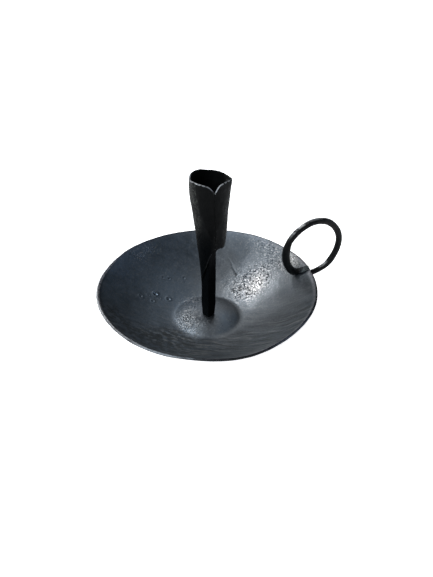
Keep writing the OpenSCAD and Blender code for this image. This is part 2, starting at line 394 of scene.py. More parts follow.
    # painted light and shade: patches where the whole finish is painted darker or lighter
    painted_shading = (1 - 0.26 * patch(54, -6, 11, 8)) * (1 - 0.26 * patch(36, -31, 17, 11, -40)) \
        * (1 + 0.36 * patch(-60, 30, 24, 15, 60)) * (1 + 0.25 * patch(-3, 20, 9, 4)) \
        * (1 + 0.35 * patch(65.6, -6.5, 6, 5)) * (1 + 0.14 * patch(-14, -37, 16, 9)) \
        * (1 - 0.52 * patch(-17.0, -6.0, 8, 9)) * (1 + 0.20 * patch(-10, 9, 9, 6, 50)) \
        * (1 - 0.20 * patch(57, 19, 10, 10)) * (1 + 0.35 * patch(71, 14, 4, 8)) \
        * (1 + 0.18 * patch(-12, -19, 11, 6))
    hole = np.zeros(len(px))
    for cx, cy, r, _ in PITS:
        hole = np.maximum(hole, np.exp(-((px - cx) ** 2 + (py - cy) ** 2) / (0.72 * r) ** 2))
    for cx, cy, r, _ in NICKS:
        hole = np.maximum(hole, 0.4 * np.exp(-((px - cx) ** 2 + (py - cy) ** 2) / (0.6 * r) ** 2))
    return build("raised_pan", co, q,
                 floats={"rim": rim.ravel(), "wear_and_sheen": wear_and_sheen, "arris": arris, "painted_corner_shade": painted_corner_shade,
                         "pits_and_glints": pits_and_glints, "rubbed_and_lit": rubbed_and_lit, "blue": blue,
                         "mottled": mottled, "brushed": brushed, "painted_shading": painted_shading,
                         "under": under,
                         "hole": hole * (up > 0.4)},
                 node="pan")


# ---------------------------------------------------------------- stem and socket
# Local axes: X to the camera's right, Y towards the camera, Z up. psi is the
# angle from the camera's direction, positive to the right.
sock_R = line_table([(28, 4.35), (31, 4.35), (34, 4.7), (40.8, 5.45), (47.3, 6.4),
                     (53.6, 7.3), (57, 7.95), (60, 8.4), (63.1, 8.85), (69.2, 9.45),
                     (74.5, 10.12), (78.9, 10.55), (83.4, 11.03), (87.7, 11.45),
                     (92, 11.95), (96.4, 12.45), (100.5, 12.95), (104.7, 13.28),
                     (109, 13.5), (112, 13.6)])
sock_X = line_table([(20, .55), (34, .6), (40.8, .9), (47.3, 1.25), (53.6, 1.55),
                     (57, 1.75), (60, 1.82), (63.1, 1.87), (69.2, 2.03), (74.5, 2.0),
                     (78.9, 1.84), (83.4, 1.73), (87.7, 1.56), (92, 1.42),
                     (96.4, 1.30), (100.5, 1.34), (104.7, 1.50), (108.9, 1.93),
                     (112, 2.05)])
lip_R = loop_table([(-180, 12.75), (-168, 12.8), (-149, 13.2), (-134, 13.5),
                    (-120, 13.75), (-106, 13.8), (-94, 13.6), (-80, 13.4),
                    (-67, 13.2), (-45, 12.5), (-22, 11.8), (0, 11.2), (12, 11.0),
                    (25, 11.0), (40, 11.2), (59, 11.6), (75, 12.6), (83, 13.4),
                    (88, 13.65), (94, 13.3), (103, 12.5), (121, 11.8), (143, 12.0),
                    (160, 12.3)], width=3)
lip_Z = loop_table([(-180, 110.05), (-168, 110.2), (-149, 111.1), (-134, 111.3),
                    (-120, 111.3), (-106, 111.15), (-94, 110.3), (-84, 110.1),
                    (-75, 110.6), (-60, 111.1), (-45, 111.15), (-34, 111.0),
                    (-20, 110.8), (-11, 110.4), (-3, 109.4), (4.5, 107.9),
                    (11.5, 106.5), (15.2, 105.1), (19.2, 107.0), (23.7, 108.6),
                    (29.2, 109.8), (37, 110.5), (50, 110.6), (69.5, 110.6),
                    (83, 110.3), (90, 110.1), (103, 110.1), (121, 110.05),
                    (143, 109.95), (160, 109.9)], width=1.1)
wing_Z = loop_table([(-180, 31), (-150, 31), (-120, 31.5), (-85, 33.3), (-57.6, 36.5),
                     (-47.9, 39.6), (-39.2, 41.9), (-32.8, 43.9), (-25, 46.2),
                     (-19.7, 47.8), (-15.4, 49.6), (-11.4, 51.4), (-7.2, 53.3),
                     (-0.3, 56.4), (4.2, 58), (8.7, 59.4), (14, 60.4), (22, 61.2),
                     (25.5, 61.4), (27.5, 60.2), (30, 61.2), (33, 62.1), (38, 62.7),
                     (45, 62.8), (55, 62.2), (66, 61.6), (78, 61.4), (84, 61.2),
                     (90, 60.8), (96, 59.8), (102, 58.9), (108, 57.9), (114, 57.2),
                     (120, 56.7), (126, 56.2), (132, 55.7), (138, 54.9), (144, 53.4),
                     (150, 50.5), (158, 45.5), (168, 38.5)], width=1.2)
flare_A = line_table([(50, 1.1), (66, 1.1), (74, 0.85), (84, 0.5), (98, 0.4),
                      (106, 0.1), (112, 0)])
seam_A = line_table([(50, 25.5), (58, 25.5), (81, 19.5), (104, 15.2), (112, 15.2)])
# how far the lip's edge is rubbed bright, by azimuth round the socket
lip_worn = loop_table([(-180, .05), (-130, .05), (-112, .25), (-98, .8), (-85, 1),
                       (-24, 1), (-12, .65), (6, .6), (15, 1), (32, .85), (50, .7),
                       (75, .75), (88, .5), (97, .05), (180, .05)], width=4)
forge_a = waves(31, 18, 6, 14, (1, 1, 1.5))
forge_b = waves(32, 20, 2.2, 4.5, (1, 1, 1.7))
forge_c = waves(33, 20, 0.9, 2.0, (1, 1, 2.5))
bar_n = waves(34, 16, 1.0, 2.4, (1, 1, 9))
FLOOR_Z = 60.5


def socket_field(x, y, z):
    cx = sock_X(z)
    cy = np.clip(1.0 * (1 - (z - 4.6) / 105), 0, 1)
    dx, dy = x - cx, y - cy
    rho = np.sqrt(dx * dx + dy * dy) + 1e-6
    psi = np.degrees(np.arctan2(dx, dy))
    m = np.clip((z - 60) / 50, 0, 1) ** 1.25
    flat = -0.075 * np.exp(-(psi / 48) ** 2) - 0.03 * np.exp(-((psi - 70) / 30) ** 2)
    R = sock_R(z) * (1 + m * (lip_R(psi) / 13.52 - 1) + (1 - m) * flat)
    R = R + flare_A(z) * np.exp(-((psi - 88) / 36) ** 2) * step01(z, 50, 58)
    # the seam: two rolled edges that meet, the right one a little proud
    ds = (psi - seam_A(z)) * RAD * R
    tube = step01(z, 55, 59)
    R = R + tube * np.where(ds > 0, 0.16 * np.exp(-ds / 3.0), -0.10 * np.exp(ds / 2.2))
    # a hammered bevel under the lip on the right of the V
    bev = np.exp(-((psi - 60) / 26) ** 2) * step01(z, 105.6, 109.5)
    R = R - 0.55 * bev
    q = rho - R
    low = step01(z, 92, 111)
    t = 1.65 - 0.55 * low
    fl = 0.10 * forge_a(x, y, z) + 0.05 * forge_b(x, y, z) + 0.016 * forge_c(x, y, z)
    outer = q + fl
    wz = wing_Z(psi)
    bottom = np.maximum(FLOOR_Z + 0.25 * forge_a(x, y, 7), wz + 1.1)
    cavity = smax(rho - (R - t) + 0.7 * fl, bottom - z, 1.2)
    body = smax(outer, -cavity, 0.15)
    # the lip and its V
    lz = lip_Z(psi)
    slope = (lip_Z(psi + 0.8) - lip_Z(psi - 0.8)) / (1.6 * RAD * 12)
    body = smax(body, (z - lz - 0.06 * forge_b(x, y, 3)) / np.sqrt(1 + slope ** 2), 0.45)
    # the wings' lower edges
    ws = (wing_Z(psi + 1.0) - wing_Z(psi - 1.0)) / (2.0 * RAD * 7.5)
    body = smax(body, (wz - z + 0.15 * forge_b(x, y, 1)) / np.sqrt(1 + ws ** 2), 0.5)
    # groove of the seam, outside and inside
    wide = 0.05 + 0.62 * (q + 0.5)
    cut = np.maximum((np.abs(ds + 0.12 * forge_b(x, 0, z)) - wide) * 0.85, -(q + 0.5))
    cut = np.maximum(cut, 57.0 - z)
    body = np.maximum(body, -cut)
    qi = (R - t) - rho
    cut = np.maximum((np.abs(ds) - (0.05 + 0.6 * (qi + 0.45))) * 0.85, -(qi + 0.45))
    cut = np.maximum(cut, 62.0 - z)
    body = np.maximum(body, -cut)
    # the square bar, one corner towards the camera
    bx, by = x - 0.8, y - 1.0
    c = math.sqrt(0.5)
    u, v = (bx + by) * c, (bx - by) * c
    half = 3.58 - 0.30 * (1 - step01(z, 8.5, 15.5)) \
        - 0.28 * np.exp(-np.clip(z - 4.6, 0, None) / 1.6) \
        + 0.05 * forge_a(x, y, z * 1.3) + 0.03 * np.sin(z / 4.3)
    rnd = 0.50
    ax, ay = np.abs(u) - (half - rnd), np.abs(v) - (half - rnd)
    bar = np.sqrt(np.maximum(ax, 0) ** 2 + np.maximum(ay, 0) ** 2) \
        + np.minimum(np.maximum(ax, ay), 0) - rnd
    bar = bar + 0.035 * bar_n(x, y, z) + 0.02 * forge_c(x, y, z)
    bar = smax(bar, 4.56 - z, 0.3)
    bar = np.maximum(bar, z - np.maximum(60.1, wz + 0.7))
    f = smin(body, bar, 0.5)
    # tenon and the head peened over under the pan
    rc = np.sqrt(x * x + y * y)
    ten = np.maximum(rc - 2.5, np.maximum(z - 5.2, 2.4 - z))
    f = np.minimum(f, ten)
    big = 6.52
    hd = np.sqrt(rc ** 2 + (z - (1.1 + big)) ** 2) - big
    hd = hd + 0.07 * forge_b(x, y, 40) + 0.05 * forge_a(x, y, 40) + 0.03
    hd = smax(hd, z - 2.97, 0.25)
    return smin(f, hd, 0.1)


def surface_net(fun, lo, hi, h):
    """Closed quad mesh of the zero set of fun, one vertex to a cell."""
    ax = [np.arange(a, b + h, h) for a, b in zip(lo, hi)]
    f = np.empty([len(a) for a in ax], np.float32)
    X, Y = np.meshgrid(ax[0], ax[1], indexing="ij")
    for k in range(0, len(ax[2]), 24):
        zc = ax[2][k:k + 24]
        f[:, :, k:k + 24] = fun(X[:, :, None], Y[:, :, None], zc[None, None, :])
    s = f < 0
    cnt = np.zeros([n - 1 for n in f.shape], np.int8)
    corners = [(i, j, k) for i in (0, 1) for j in (0, 1) for k in (0, 1)]

    def part(a, c):
        return a[c[0]:a.shape[0] - 1 + c[0], c[1]:a.shape[1] - 1 + c[1],
                 c[2]:a.shape[2] - 1 + c[2]]
    for c in corners:
        cnt += part(s, c)
    act = (cnt > 0) & (cnt < 8)
    idx = np.full(act.shape, -1, np.int64)
    cells = np.argwhere(act)
    idx[act] = np.arange(len(cells))
    acc = np.zeros((len(cells), 3))
    num = np.zeros(len(cells))
    for a in corners:
        for d in range(3):
            if a[d]:
                continue
            b = list(a)
            b[d] = 1
            fa = part(f, a)[act]
            fb = part(f, tuple(b))[act]
            hit = (fa < 0) != (fb < 0)
            t = fa[hit] / (fa[hit] - fb[hit])
            p = np.tile(np.array(a, float), (hit.sum(), 1))
            p[:, d] += t
            acc[hit] += p
            num[hit] += 1
    co = (cells + acc / num[:, None]) * h + np.array(lo)
    quads = []
    for d in range(3):
        e, g = (d + 1) % 3, (d + 2) % 3
        sl0 = [slice(1, -1)] * 3
        sl1 = [slice(1, -1)] * 3
        sl0[d], sl1[d] = slice(0, -1), slice(1, None)
        a, b = s[tuple(sl0)], s[tuple(sl1)]
        where = np.argwhere(a != b)
        first = a[tuple(where.T)]
        base = where.copy()
        base[:, e] += 1
        base[:, g] += 1
        def at(de, dg):
            c = base.copy()
            c[:, e] -= de
            c[:, g] -= dg
            return idx[c[:, 0], c[:, 1], c[:, 2]]
        qd = np.stack([at(1, 1), at(0, 1), at(0, 0), at(1, 0)], -1)
        qd[~first] = qd[~first][:, ::-1]
        quads.append(qd)
    return co, np.concatenate(quads)


def pull_to_surface(fun, co, steps=3, eps=0.03, most=0.25):
    for _ in range(steps):
        v = fun(co[:, 0], co[:, 1], co[:, 2])
        g = np.stack([fun(co[:, 0] + (eps if i == 0 else 0), co[:, 1] + (eps if i == 1 else 0),
                          co[:, 2] + (eps if i == 2 else 0)) - v for i in range(3)], -1) / eps
        g2 = np.maximum((g * g).sum(1), 0.2)
        mv = -g * (v / g2)[:, None]
        ln = np.linalg.norm(mv, axis=1)
        mv *= np.minimum(1, most / np.maximum(ln, 1e-9))[:, None]
        co = co + 0.8 * mv
    return co


def make_socket():
    co, quads = surface_net(socket_field, (-13.7, -15.3, 0.35), (17.9, 13.4, 112.3), 0.34)
    co = pull_to_surface(socket_field, co)
    x, y, z = co.T
    cx = sock_X(z)
    cy = np.clip(1.0 * (1 - (z - 4.6) / 105), 0, 1)
    psi = np.degrees(np.arctan2(x - cx, y - cy))
    rho = np.hypot(x - cx, y - cy)
    lz = lip_Z(psi)
    sl = np.sqrt(1 + ((lip_Z(psi + 0.8) - lip_Z(psi - 0.8)) / (1.6 * RAD * 12)) ** 2)
    lip = np.exp(-(np.clip(lz - z, 0, None) / sl / 0.55) ** 2)
    lip = lip * lip_worn(psi)
    # a painted highlight along the wings' lower edges
    wz = wing_Z(psi)
    ws = np.sqrt(1 + ((wing_Z(psi + 1) - wing_Z(psi - 1)) / (2 * RAD * 7.5)) ** 2)
    wing = np.exp(-(np.clip(z - wz, -0.6, None) / ws / 0.45) ** 2) \
        * step01(rho, 5.2, 6.2) * (z < 59.5) * (z > 36)
    # painted shade: the inside of the socket is painted darker
    inner = ((rho < sock_R(z) - 0.95) & (z > 59)).astype(float)
    low = np.maximum(1 - step01(z, 40, 60),
                     (1 - step01(z, 66, 84)) * (1 - step01(psi, -5, 25)) * (psi > -110))
    ds = (psi - seam_A(z)) * RAD * rho
    seam = np.exp(-(ds / 0.9) ** 2) * (rho > sock_R(z) - 1.2) * step01(z, 57, 60)
    rubbed_and_lit = (0.15 + 0.85 * np.exp(-((psi + 62) / 26) ** 2)
              + 0.7 * np.exp(-((psi - 55) / 30) ** 2) * step01(z, 84, 104)
              + 0.8 * np.exp(-((psi - 72) / 16) ** 2) * (1 - step01(z, 92, 102))) \
        * (1 - inner) * step01(z, 50, 72) * (1 - low)
    # painted light where light reaches the inside of the mouth on the right
    lit = inner * np.exp(-((psi - 108) / 20) ** 2) * step01(z, 102, 108)
    rubbed_and_lit = np.maximum(rubbed_and_lit, 0.75 * lit)
    inner = inner * (1 - 0.9 * lit)
    u = co[:, 0:1] * np.array([[math.cos(SIDE_AZ), math.sin(SIDE_AZ)]]) \
        + co[:, 1:2] * np.array([[math.cos(CAM_AZ), math.sin(CAM_AZ)]])
    world = np.concatenate([u, co[:, 2:3]], 1)
    # X right, Y towards the camera and Z up make a left-handed set: turn the faces over
    return build("stem_socket", world, quads[:, ::-1],
                 floats={"lip": lip, "wing": wing, "inner": inner, "low": low,
                         "seam": seam, "rubbed_and_lit": np.clip(rubbed_and_lit, 0, 1)},
                 node="candle_socket")


# ---------------------------------------------------------------- the finger ring
def on_wall(a, d, az=0.0):
    """A point d inside the wall's outer face where its slope is a, and the wall's normal there."""
    r = FOOT_RO + WALL_R * (math.sin(a) - math.sin(WALL_A0)) - d * math.sin(a)
    z = WALL_R * (math.cos(WALL_A0) - math.cos(a)) + d * math.cos(a)
    p = np.array([r * math.cos(az), r * math.sin(az), z])
    n = np.array([-math.sin(a) * math.cos(az), -math.sin(a) * math.sin(az), math.cos(a)])
    return p, n


def ring_point(a):
    u, z = RING_X + RING_R * math.cos(a), RING_Z + RING_R * math.sin(a)
    c, s = math.cos(RING_TURN), math.sin(RING_TURN)
    p = np.array([RING_PIVOT + (u - RING_PIVOT) * c, (u - RING_PIVOT) * s, z])
    n = np.array([-math.cos(a) * c, -math.cos(a) * s, -math.sin(a)])
    return p, n


# Departures of the ring from a true circle and the rod's radius, by angle.
ring_dR = loop_table([(-111, 0), (-72, 0), (-55, .5), (-40, .2), (-25, -.1), (-10, 0), (5, .25),
                      (20, .22), (35, -.05), (50, 0), (65, .1), (80, -.32), (95, -.3),
                      (110, -1.0), (125, -1.0), (140, -.78), (155, -.62), (170, -.82),
                      (185, -.85), (200, -.65), (215, -.42), (230, .1)], width=5)
rod_at = loop_table([(-111, 2.0), (-72, 1.92), (-55, 2.1), (-40, 2.30), (-25, 2.12),
                     (-10, 2.2), (5, 2.26), (20, 2.36), (50, 2.30), (65, 2.24), (80, 2.40),
                     (95, 2.30), (110, 2.20), (125, 2.14), (140, 2.36), (155, 2.10),
                     (170, 2.72), (185, 2.90), (200, 2.77), (215, 2.58), (232, 2.80)], width=5)


def shifted(p, top, share=1.0):
    """A point on the true wall moved to the wall as it was raised."""
    r, th = math.hypot(p[0], p[1]), math.atan2(p[1], p[0])
    dr, dz = pan_shift(np.array([r]), np.array([th]), top)
    k = 1 + share * float(dr[0]) / r
    return np.array([p[0] * k, p[1] * k, p[2] + share * float(dz[0])])


def ring_path():
    """Points, the direction of the thickness at each, half-width, half-thickness, squareness."""
    pts = []

    def along(q, turn, d):
        aside = 0.45 * float(1 - step01(q, 3.2, 7.0))
        x = q * math.cos(turn) - aside * math.sin(turn)
        y = -q * math.sin(turn) - aside * math.cos(turn)
        a = LAND_A + x / (WALL_R - d)
        r = on_wall(a, d)[0][0]
        return on_wall(a, d, y / r)

    def limb(a):
        p, n = ring_point(a)
        return p - n * float(ring_dR(a / RAD)), n
    # inner tongue, from the rim down to the limb's foot
    for q in np.linspace(9.3, 3.2, 28):
        h = 0.52 + 0.40 * float(step01(9.3 - q, 0.5, 6.1))
        p, n = along(q, TONGUE_TURN, SHEET + h)
        w = 2.15 + 0.50 * float(step01(9.3 - q, 0, 6.1))
        pts.append((shifted(p, True), n, w, h, 3.4))
    pa, na = pts[-1][0], pts[-1][1]
    a_in = 230.0 * RAD
    pb, nb = limb(a_in)
    heel = shifted(along(0.3, TONGUE_TURN, SHEET + 1.3)[0], True, 0.9)
    r_in = float(rod_at(230.0))
    for t in np.linspace(0, 1, 22)[1:-1]:
        p = pa * (1 - t) ** 2 + heel * 2 * t * (1 - t) + pb * t * t
        n = na * (1 - t) + nb * t
        n /= np.linalg.norm(n)
        s = t * t * (3 - 2 * t)
        pts.append((p, n, 2.65 + (r_in - 2.65) * s, 0.92 + (r_in - 0.92) * s ** 0.8,
                    3.4 + (2.2 - 3.4) * s))
    a_out = -107.0 * RAD
    for a in np.linspace(a_in, a_out, 300):
        p, n = limb(a)
        r = float(rod_at(a / RAD))
        pts.append((p, n, r, r * 0.99, 2.12))
    # outer tongue, under the wall
    pa, na = pts[-1][0], pts[-1][1]
    land = ring_point(-112.2 * RAD)[0]
    a0 = 38.4 * RAD
    h = 1.0
    pb, nb = on_wall(a0 - 2.4 / WALL_R, -h, 0.0)
    pb = shifted(pb, False)
    for t in np.linspace(0, 1, 16)[1:-1]:
        p = pa * (1 - t) ** 2 + land * 2 * t * (1 - t) + pb * t * t
        n = na * (1 - t) + nb * t
        n /= np.linalg.norm(n)
        s = t * t * (3 - 2 * t)
        pts.append((p, n, 1.85 + (2.4 - 1.85) * s, 1.85 + (h - 1.85) * s, 2.1 + 1.3 * s))
    for q in np.linspace(2.4, 8.4, 26):
        hh = h - 0.45 * float(step01(q, 4.0, 8.4))
        p, n = on_wall(a0 - q / WALL_R, -hh, 0.0)
        pts.append((shifted(p, False), n, 2.4, hh, 3.4))
    return pts


def make_ring():
    pts = ring_path()
    P = np.array([p for p, *_ in pts])
    N = np.array([p[1] for p in pts])
    W, H, E = (np.array([p[i] for p in pts]) for i in (2, 3, 4))
    for _ in range(6):      # soften the joins of the path
        P[1:-1] = (P[:-2] + 2 * P[1:-1] + P[2:]) / 4
        N[1:-1] = (N[:-2] + 2 * N[1:-1] + N[2:]) / 4
        for v in (W, H, E):
            v[1:-1] = (v[:-2] + 2 * v[1:-1] + v[2:]) / 4
    s = np.concatenate([[0], np.cumsum(np.linalg.norm(np.diff(P, axis=0), axis=1))])
    n = 460
    # closer rows at the two round ends
    g = np.concatenate([np.linspace(0, 0.9, 12)[:-1], np.linspace(0.9, s[-1] - 2.4, n),
                        np.linspace(s[-1] - 2.4, s[-1], 26)[1:]])
    P = np.stack([np.interp(g, s, P[:, i]) for i in range(3)], -1)
    N = np.stack([np.interp(g, s, N[:, i]) for i in range(3)], -1)
    W, H, E = (np.interp(g, s, v) for v in (W, H, E))
    T = np.gradient(P, g, axis=0)
    T /= np.linalg.norm(T, axis=1)[:, None]
    N -= (N * T).sum(1)[:, None] * T
    N /= np.linalg.norm(N, axis=1)[:, None]
    B = np.cross(T, N)
    wob = np.random.RandomState(5)
    for i in range(7):
        k, ph = wob.uniform(0.05, 0.5), wob.uniform(0, 6.3)
        W = W * (1 + 0.012 * np.sin(k * g + ph))
        H = H * (1 + 0.012 * np.sin(k * g * 1.3 + ph * 2))
    # the rim end is cut square with broken corners; the hidden end is round
    d0 = np.clip(g / 0.7, 0, 1)
    c0 = np.sqrt(np.clip(1 - (1 - d0) ** 2, 0, 1))
    W = W - (1 - c0) * 0.6
    H = H * (0.35 + 0.65 * c0)
    d1 = np.clip((s[-1] - g) / 2.4, 0, 1)
    c1 = np.sqrt(np.clip(1 - (1 - d1) ** 2, 0, 1))
    W = W * (0.12 + 0.88 * c1)
    H = H * (0.4 + 0.6 * np.clip((s[-1] - g) / 0.6, 0, 1) ** 0.5)
    m = 56
    al = np.arange(m) * 2 * math.pi / m
    ca, sa = np.cos(al), np.sin(al)
    ex = 2.0 / E[:, None]
    cw = np.sign(ca) * np.abs(ca)[None, :] ** ex
    sw = np.sign(sa) * np.abs(sa)[None, :] ** ex
    co = P[:, None, :] + B[:, None, :] * (W[:, None] * cw)[..., None] \
        + N[:, None, :] * (H[:, None] * sw)[..., None]
    na = waves(51, 18, 5, 12)
    nb = waves(52, 20, 1.6, 3.6)
    c = co.reshape(-1, 3)
    out = (co - P[:, None, :]).reshape(-1, 3)
    out /= np.maximum(np.linalg.norm(out, axis=1), 1e-6)[:, None]
    bump = 0.055 * na(*c.T) + 0.022 * nb(*c.T)
    keep = np.repeat(step01(g, 9, 13) * (1 - step01(g, s[-1] - 9, s[-1] - 6)), m)
    c = c + out * (bump * (0.3 + 0.7 * keep))[:, None]
    # bed both tongues on the wall
    gg = np.repeat(g, m)
    low = pan_height(c[:, 0], c[:, 1], True) + 0.015
    c[:, 2] = np.where((gg < 20) & (c[:, 2] < low), low, c[:, 2])
    high = pan_height(c[:, 0], c[:, 1], False) - 0.015
    c[:, 2] = np.where((gg > s[-1] - 11.5) & (c[:, 2] > high), high, c[:, 2])
    rows = len(g)
    q = loft((rows, m))
    first, last = len(c), len(c) + 1
    c = np.concatenate([c, c[:m].mean(0)[None], c[-m:].mean(0)[None]])
    j = np.arange(m)
    k = (j + 1) % m
    t0 = np.stack([k, j, np.full(m, first)], -1)
    t1 = np.stack([(rows - 1) * m + j, (rows - 1) * m + k, np.full(m, last)], -1)
    tongue = np.repeat(1 - step01(g, 4.4, 8.0), m)
    # rubbed where a thumb and the table meet it, with a painted highlight on the side towards the
    # light: the upper left and the lower right of the loop
    ang = np.degrees(np.arctan2(P[:, 2] - RING_Z, P[:, 0] - RING_X)) % 360
    rubs_and_highlights = 1.0 * np.exp(-((ang - 124) / 20) ** 4) + 0.45 * np.exp(-((ang - 88) / 22) ** 2) \
        + 1.2 * np.exp(-((ang - 303) / 13) ** 2) + 0.3 * np.exp(-((ang - 15) / 25) ** 2)
    side = np.where((ang > 270)[:, None], 1.0, -1.0) * sa[None, :] * 0.91 + 0.42 * ca[None, :]
    rub_and_highlight = (rubs_and_highlights[:, None] * np.clip(2.2 * side - 0.90, 0, 1)).ravel()
    rub_and_highlight = rub_and_highlight * np.repeat(step01(g, 12, 18) * (1 - step01(g, s[-1] - 9, s[-1] - 6)), m)
    add = lambda v: np.concatenate([v, [v[0], v[-1]]])
    return build("ring_rod", c, q, np.concatenate([t0, t1]),
                 floats={"tongue": add(tongue), "rub_and_highlight": add(rub_and_highlight)},
                 node="ring_handle")


def make_rivet():
    riv_a = LAND_A + RIVET_S * math.cos(TONGUE_TURN) / WALL_R
    r_in = on_wall(riv_a, SHEET)[0][0]
    az = -math.atan(RIVET_S * math.sin(TONGUE_TURN) / r_in)
    o, nz = on_wall(riv_a, 0.0, az)
    ny = np.array([-math.sin(az), math.cos(az), 0.0])
    nx = np.cross(ny, nz)
    hub = shifted(o, True) - o
    o = o + hub
    thin = 0.62     # how much thinner the forged tongue is here than its foot
    prof = [(0.0, 3.93), (0.5, 3.93), (1.0, 3.91), (1.35, 3.87), (1.6, 3.80), (1.74, 3.72),
            (1.79, 3.65), (1.70, 3.60), (1.30, 3.58), (1.2, 3.50), (1.2, 2.6), (1.2, 1.6),
            (1.2, 0.6), (1.2, 0.0), (1.28, -0.05), (1.72, -0.08), (1.80, -0.14), (1.74, -0.26),
            (1.55, -0.42), (1.25, -0.57), (0.85, -0.69), (0.45, -0.75), (0.0, -0.76)]
    m = 40
    al = np.arange(m) * 2 * math.pi / m
    rng = np.random.RandomState(9)
    ph = rng.uniform(0, 6.3, 4)
    prof = [(r, h - thin if h > 2.6 else h) for r, h in prof]
    rows = []
    for r, h in prof[1:-1]:
        w = 1 + 0.02 * np.sin(2 * al + ph[0]) + 0.015 * np.sin(3 * al + ph[1]) \
            + 0.01 * np.sin(5 * al + ph[2])
        w = w if r > 1.21 else np.ones(m)
        dz = 0.02 * np.sin(2 * al + ph[3]) * (r / 1.8) if (h > 3.6 - thin or h < -0.1) else 0 * al
        rows.append(o + (nx[None] * (r * w * np.cos(al))[:, None]
                         + ny[None] * (r * w * np.sin(al))[:, None]
                         + nz[None] * (h + dz)[:, None]))
    c = np.concatenate(rows + [(o + nz * prof[0][1])[None], (o + nz * prof[-1][1])[None]])
    n = len(rows)
    q = loft((n, m))[:, ::-1]
    j = np.arange(m)
    k = (j + 1) % m
    t0 = np.stack([j, k, np.full(m, n * m)], -1)
    t1 = np.stack([(n - 1) * m + k, (n - 1) * m + j, np.full(m, n * m + 1)], -1)
    head = np.concatenate([np.repeat([1.0 if h > 2.5 else 0.3 for _, h in prof[1:-1]], m),
                           [1.0, 0.3]])
    return build("peened_rivet", c, q, np.concatenate([t0, t1]), floats={"head": head},
                 node="handle_rivet")


pan = make_pan()
socket = make_socket()
ring = make_ring()
rivet = make_rivet()


# ---------------------------------------------------------------- materials
class Nodes:
    """A small helper that builds a material's nodes."""

    def __init__(self, name):
        self.mat = bpy.data.materials.new(name)
        self.mat.use_nodes = True
        self.tree = self.mat.node_tree
        self.tree.nodes.clear()
        self.out = self.tree.nodes.new("ShaderNodeOutputMaterial")
        self.bsdf = self.tree.nodes.new("ShaderNodeBsdfPrincipled")
        self.tree.links.new(self.bsdf.outputs[0], self.out.inputs[0])
        tc = self.tree.nodes.new("ShaderNodeTexCoord")
        self.mm = self.vec("MULTIPLY", tc.outputs["Object"], (1000, 1000, 1000))
        sep = self.tree.nodes.new("ShaderNodeSeparateXYZ")
        self.tree.links.new(self.mm, sep.inputs[0])
        self.x, self.y, self.z = sep.outputs

    def _in(self, sock, v):
        if isinstance(v, bpy.types.NodeSocket):
            self.tree.links.new(v, sock)
        else:
            sock.default_value = v

    def math(self, op, a, b=None, c=None, clamp=False):
        n = self.tree.nodes.new("ShaderNodeMath")
        n.operation = op
        n.use_clamp = clamp
        for i, v in enumerate((a, b, c)):
            if v is not None:
                self._in(n.inputs[i], v)
        return n.outputs[0]

    def vec(self, op, a, b=None):
        n = self.tree.nodes.new("ShaderNodeVectorMath")
        n.operation = op
        self._in(n.inputs[0], a)
        if b is not None:
            self._in(n.inputs[1], b)
        return n.outputs[1] if op in ("LENGTH", "DOT_PRODUCT") else n.outputs[0]

    def join(self, x, y, z):
        n = self.tree.nodes.new("ShaderNodeCombineXYZ")
        for i, v in enumerate((x, y, z)):
            self._in(n.inputs[i], v)
        return n.outputs[0]

    def noise(self, vec, scale, detail=4.0, rough=0.55, distort=0.0):
        n = self.tree.nodes.new("ShaderNodeTexNoise")
        self._in(n.inputs["Vector"], vec)
        n.inputs["Scale"].default_value = scale
        n.inputs["Detail"].default_value = detail
        n.inputs["Roughness"].default_value = rough
        n.inputs["Distortion"].default_value = distort
        return n.outputs["Fac"] if "Fac" in n.outputs else n.outputs[0]

    def cells(self, vec, scale, feature="F1", rand=1.0):
        n = self.tree.nodes.new("ShaderNodeTexVoronoi")
        n.feature = feature
        self._in(n.inputs["Vector"], vec)
        n.inputs["Scale"].default_value = scale
        n.inputs["Randomness"].default_value = rand
        return n.outputs["Distance"], n.outputs.get("Color")

    def attr(self, name):
        n = self.tree.nodes.new("ShaderNodeAttribute")
        n.attribute_name = name
        return n.outputs["Fac"]

    def band(self, v, a, b, lo=0.0, hi=1.0, smooth=True):
        n = self.tree.nodes.new("ShaderNodeMapRange")
        n.interpolation_type = "SMOOTHSTEP" if smooth else "LINEAR"
        for i, x in enumerate((v, a, b, lo, hi)):
            self._in(n.inputs[i], x)
        return n.outputs[0]

    def mixc(self, f, a, b, blend="MIX"):
        n = self.tree.nodes.new("ShaderNodeMix")
        n.data_type = "RGBA"
        n.blend_type = blend
        self._in(n.inputs[0], f)
        self._in(n.inputs[6], a if isinstance(a, bpy.types.NodeSocket) else (*a, 1))
        self._in(n.inputs[7], b if isinstance(b, bpy.types.NodeSocket) else (*b, 1))
        return n.outputs[2]

    def mixf(self, f, a, b):
        n = self.tree.nodes.new("ShaderNodeMix")
        n.data_type = "FLOAT"
        self._in(n.inputs[0], f)
        self._in(n.inputs[2], a)
        self._in(n.inputs[3], b)
        return n.outputs[0]

    def bump(self, height, strength, dist_m, normal=None):
        n = self.tree.nodes.new("ShaderNodeBump")
        n.inputs["Strength"].default_value = strength
        n.inputs["Distance"].default_value = dist_m
        self._in(n.inputs["Height"], height)
        if normal is not None:
            self._in(n.inputs["Normal"], normal)
        return n.outputs[0]

    def polar(self, kr, ka, kz=0.0):
        """A vector whose first part runs with the radius and whose others run round it."""
        r = self.vec("LENGTH", self.join(self.x, self.y, 0.0))
        c = self.math("DIVIDE", self.x, self.math("MAXIMUM", r, 0.1))
        s = self.math("DIVIDE", self.y, self.math("MAXIMUM", r, 0.1))
        return r, self.join(self.math("MULTIPLY", r, kr), self.math("MULTIPLY", c, ka),
                            self.math("MULTIPLY", s, ka))


